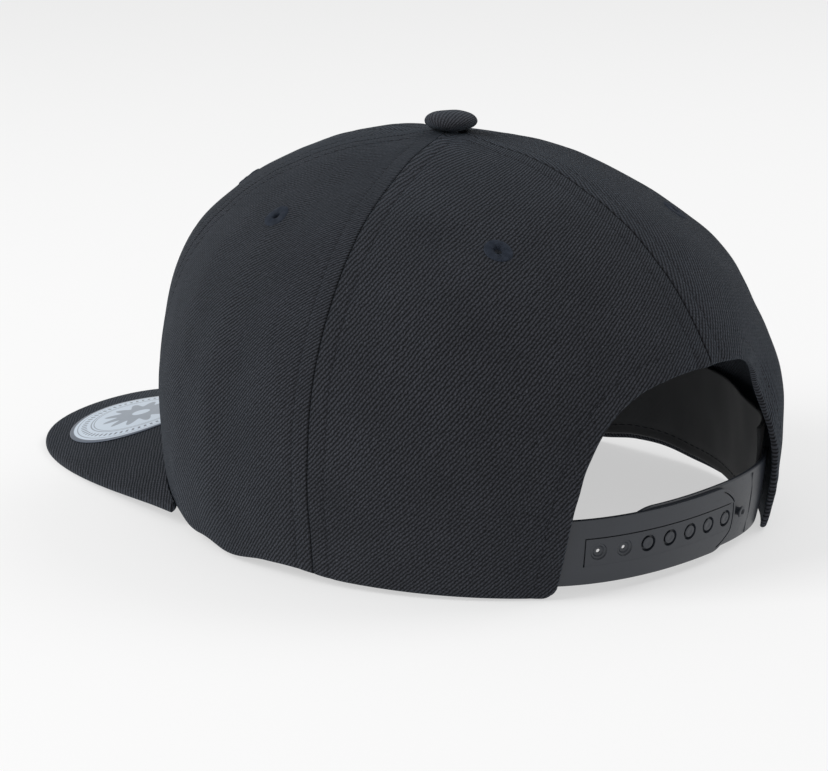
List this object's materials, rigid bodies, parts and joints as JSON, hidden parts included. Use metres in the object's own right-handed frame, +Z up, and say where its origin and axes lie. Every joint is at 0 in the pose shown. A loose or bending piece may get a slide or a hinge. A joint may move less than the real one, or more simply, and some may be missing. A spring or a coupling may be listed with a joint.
{
  "type": "snapback cap",
  "caption": "Panelled cloth cap with a broad gently arched visor, a covered button and a plastic snap strap across an arched gap at the back.",
  "frame": {"origin": "on the ground, under the middle of the whole cap's box", "axes": "+Z up, the visor points to -Y, the gap with the snap strap to +Y, +X is the wearer's left"},
  "size_m": [0.1824, 0.2752, 0.1278],
  "materials": {
    "cloth": "dark charcoal wool-blend twill with fine ribs, matte",
    "band": "black cotton sweatband, matte",
    "thread": "dark blue-grey satin thread",
    "strap": "dark blue-grey semi-gloss moulded plastic",
    "sticker": "pale silver-blue foil with a satin sheen"
  },
  "bodies": {
    "root": {"panel_front_left": "cloth", "panel_front_right": "cloth", "panel_side_left": "cloth", "panel_side_right": "cloth", "panel_back_left": "cloth", "panel_back_right": "cloth", "button": "cloth", "visor": "cloth", "visor_sticker": "sticker", "strap_holes": "strap", "strap_pegs": "strap", "sweatband": "band", "eyelet_front_left": "thread", "eyelet_front_right": "thread", "eyelet_side_left": "thread", "eyelet_side_right": "thread", "eyelet_back_left": "thread", "eyelet_back_right": "thread"}
  },
  "joints": []
}
